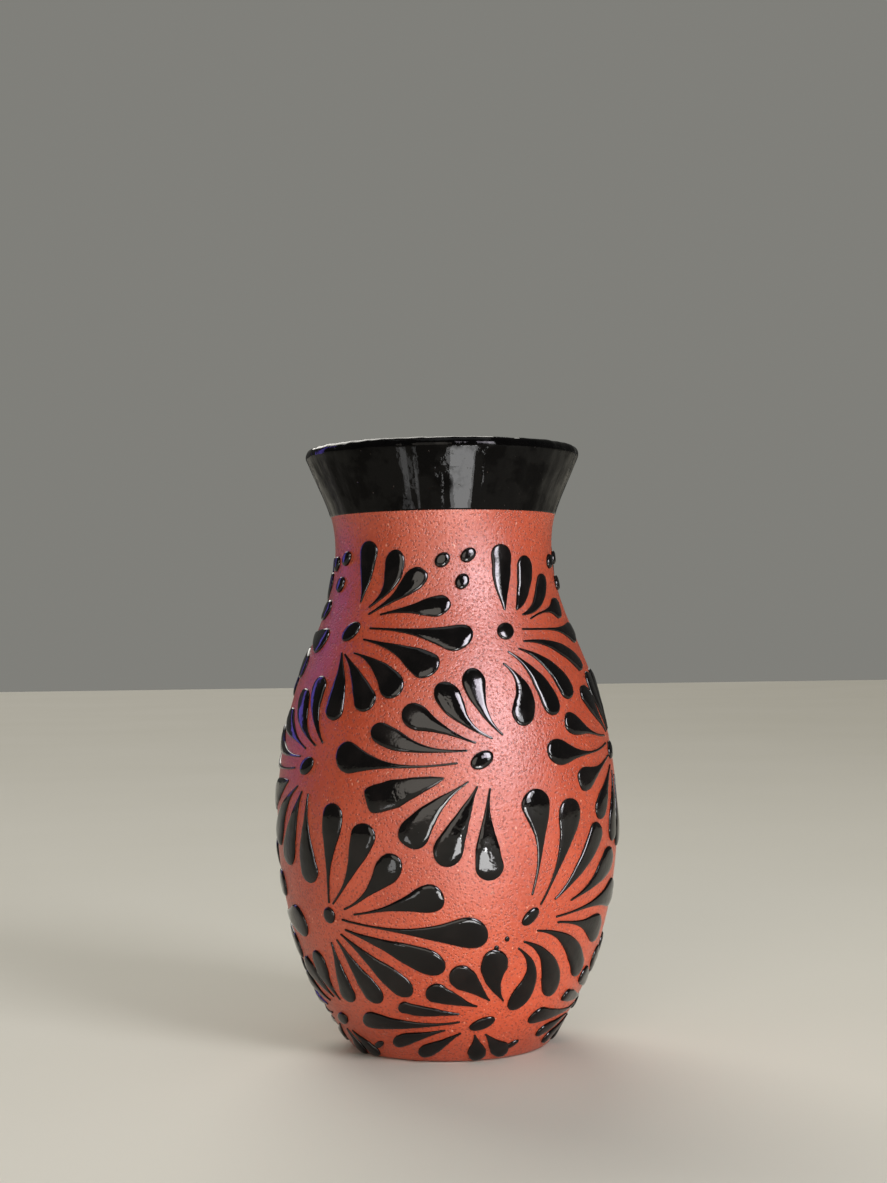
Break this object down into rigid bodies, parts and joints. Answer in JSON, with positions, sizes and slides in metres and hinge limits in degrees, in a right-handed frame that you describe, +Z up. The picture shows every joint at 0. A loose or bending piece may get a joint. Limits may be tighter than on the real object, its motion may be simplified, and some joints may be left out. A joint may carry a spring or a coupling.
{
  "type": "clay vase",
  "caption": "Round-bellied terracotta vase with a narrow neck and flared mouth, a black glazed rim and fans of raised black slip daubs.",
  "frame": {"origin": "middle of the flat foot, on the surface that the vase stands on", "axes": "+Z up along the axis that the vase is turned about, -Y towards the side in view"},
  "size_m": [0.1458, 0.1473, 0.25],
  "materials": {
    "terracotta": "matte",
    "black_glaze": "gloss",
    "black_slip": "gloss"
  },
  "bodies": {
    "root": {"belly_fan_1": "black_slip", "belly_fan_2": "black_slip", "belly_fan_3": "black_slip", "belly_fan_4": "black_slip", "belly_fan_5": "black_slip", "clay_body": "terracotta", "foot_dash_1": "black_slip", "foot_dash_2": "black_slip", "foot_dash_3": "black_slip", "foot_dash_4": "black_slip", "foot_dash_5": "black_slip", "foot_fan_1": "black_slip", "foot_fan_2": "black_slip", "foot_fan_3": "black_slip", "foot_fan_4": "black_slip", "foot_fan_5": "black_slip", "lower_fan_1": "black_slip", "lower_fan_2": "black_slip", "lower_fan_3": "black_slip", "lower_fan_4": "black_slip", "lower_fan_5": "black_slip", "neck_dot_left_1": "black_slip", "neck_dot_left_2": "black_slip", "neck_dot_left_3": "black_slip", "neck_dot_left_4": "black_slip", "neck_dot_left_5": "black_slip", "neck_dot_low_1": "black_slip", "neck_dot_low_2": "black_slip", "neck_dot_low_3": "black_slip", "neck_dot_low_4": "black_slip", "neck_dot_low_5": "black_slip", "neck_dot_right_1": "black_slip", "neck_dot_right_2": "black_slip", "neck_dot_right_3": "black_slip", "neck_dot_right_4": "black_slip", "neck_dot_right_5": "black_slip", "rim_glaze": "black_glaze", "shoulder_fan_1": "black_slip", "shoulder_fan_2": "black_slip", "shoulder_fan_3": "black_slip", "shoulder_fan_4": "black_slip", "shoulder_fan_5": "black_slip", "stray_drop_high_1": "black_slip", "stray_drop_low_1": "black_slip"}
  },
  "joints": []
}
